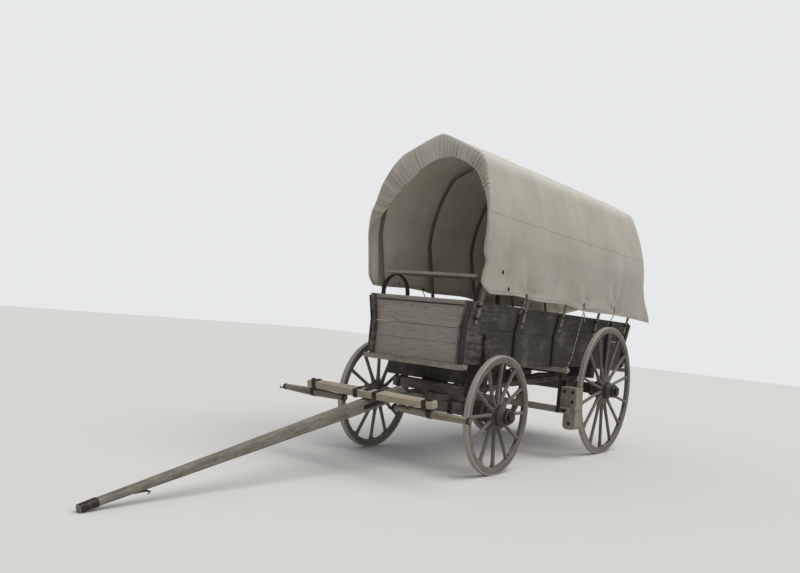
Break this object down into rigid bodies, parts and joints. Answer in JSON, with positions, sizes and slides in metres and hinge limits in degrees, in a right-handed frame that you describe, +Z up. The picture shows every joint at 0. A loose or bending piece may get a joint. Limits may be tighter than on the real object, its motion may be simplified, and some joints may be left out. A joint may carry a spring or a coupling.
{
  "type": "covered wagon",
  "caption": "Farm wagon with a board box on bolsters, spoked iron-tyred wheels, steering front gear, tongue with swinging draft bars, and a bowed canvas cover.",
  "frame": {"origin": "on the ground under the middle of the overall length, width centred", "axes": "+X to the wagon's own left, front towards -Y, +Z up"},
  "size_m": [1.968, 6.9869, 2.892],
  "materials": {
    "weathered_boards": "weathered bare boards",
    "painted_boards": "worn dark paint",
    "gear_wood": "dusty worn paint",
    "wheel_wood": "dusty worn paint",
    "bow_wood": "bare bent ash",
    "irons": "rusted black iron",
    "tyre_iron": "worn dusty iron",
    "canvas": "weathered cotton duck"
  },
  "bodies": {
    "wagon_box": {"box_floor": "weathered_boards", "cross_sills": "weathered_boards", "lower_side_boards": "painted_boards", "upper_side_boards": "painted_boards", "side_cleats": "painted_boards", "front_gate": "weathered_boards", "gate_strips": "weathered_boards", "tailgate_hinges": "irons", "canvas_cover": "canvas", "bows": "bow_wood", "seat_board": "weathered_boards", "seat_springs": "irons", "front_bolster": "gear_wood", "bolster_plate": "irons", "rear_bolster": "gear_wood", "rear_axle": "gear_wood", "rear_axle_arms": "irons", "reach": "gear_wood", "rear_hounds": "gear_wood", "brake_beam": "gear_wood", "brake_hangers": "irons"},
    "front_gear": {"front_axle": "gear_wood", "front_axle_arms": "irons", "sandboard": "gear_wood", "front_hounds": "gear_wood", "tongue_pin": "irons", "kingbolt": "irons"},
    "tongue": {"tongue": "gear_wood", "hammer_strap": "irons"},
    "doubletree": {"doubletree": "gear_wood"},
    "singletree_left": {"singletree_left": "gear_wood"},
    "singletree_right": {"singletree_right": "gear_wood"},
    "tailgate": {"tailgate": "weathered_boards"},
    "front_left_wheel": {"front_left_wheel_wood": "wheel_wood", "front_left_wheel_irons": "irons", "front_left_wheel_tyre": "tyre_iron"},
    "front_right_wheel": {"front_right_wheel_wood": "wheel_wood", "front_right_wheel_irons": "irons", "front_right_wheel_tyre": "tyre_iron"},
    "rear_left_wheel": {"rear_left_wheel_wood": "wheel_wood", "rear_left_wheel_irons": "irons", "rear_left_wheel_tyre": "tyre_iron"},
    "rear_right_wheel": {"rear_right_wheel_wood": "wheel_wood", "rear_right_wheel_irons": "irons", "rear_right_wheel_tyre": "tyre_iron"}
  },
  "joints": [
    {"name": "steering", "type": "hinge", "parent": "wagon_box", "child": "front_gear", "pos_m": [0, -0.12246, 0.508], "axis": [0, 0, 1], "range_deg": [-20, 20]},
    {"name": "tongue_lift", "type": "hinge", "parent": "front_gear", "child": "tongue", "pos_m": [0, -0.72246, 0.6003], "axis": [-1, 0, 0], "range_deg": [0, 55]},
    {"name": "doubletree_swing", "type": "hinge", "parent": "tongue", "child": "doubletree", "pos_m": [0, -1.04701, 0.5891], "axis": [0, -0.2042, 0.9789], "range_deg": [-15, 15]},
    {"name": "singletree_left_swing", "type": "hinge", "parent": "doubletree", "child": "singletree_left", "pos_m": [0.61, -1.04701, 0.5891], "axis": [0, -0.2042, 0.9789], "range_deg": [-30, 30]},
    {"name": "singletree_right_swing", "type": "hinge", "parent": "doubletree", "child": "singletree_right", "pos_m": [-0.61, -1.04701, 0.5891], "axis": [0, -0.2042, 0.9789], "range_deg": [-30, 30]},
    {"name": "tailgate_drop", "type": "hinge", "parent": "wagon_box", "child": "tailgate", "pos_m": [0, 3.16754, 0.943], "axis": [-1, 0, 0], "range_deg": [0, 100]},
    {"name": "front_left_wheel_spin", "type": "hinge", "parent": "front_gear", "child": "front_left_wheel", "pos_m": [0.651, -0.12246, 0.508], "axis": [1, 0, 0], "continuous": true},
    {"name": "front_right_wheel_spin", "type": "hinge", "parent": "front_gear", "child": "front_right_wheel", "pos_m": [-0.651, -0.12246, 0.508], "axis": [1, 0, 0], "continuous": true},
    {"name": "rear_left_wheel_spin", "type": "hinge", "parent": "wagon_box", "child": "rear_left_wheel", "pos_m": [0.651, 2.17354, 0.686], "axis": [1, 0, 0], "continuous": true},
    {"name": "rear_right_wheel_spin", "type": "hinge", "parent": "wagon_box", "child": "rear_right_wheel", "pos_m": [-0.651, 2.17354, 0.686], "axis": [1, 0, 0], "continuous": true}
  ]
}
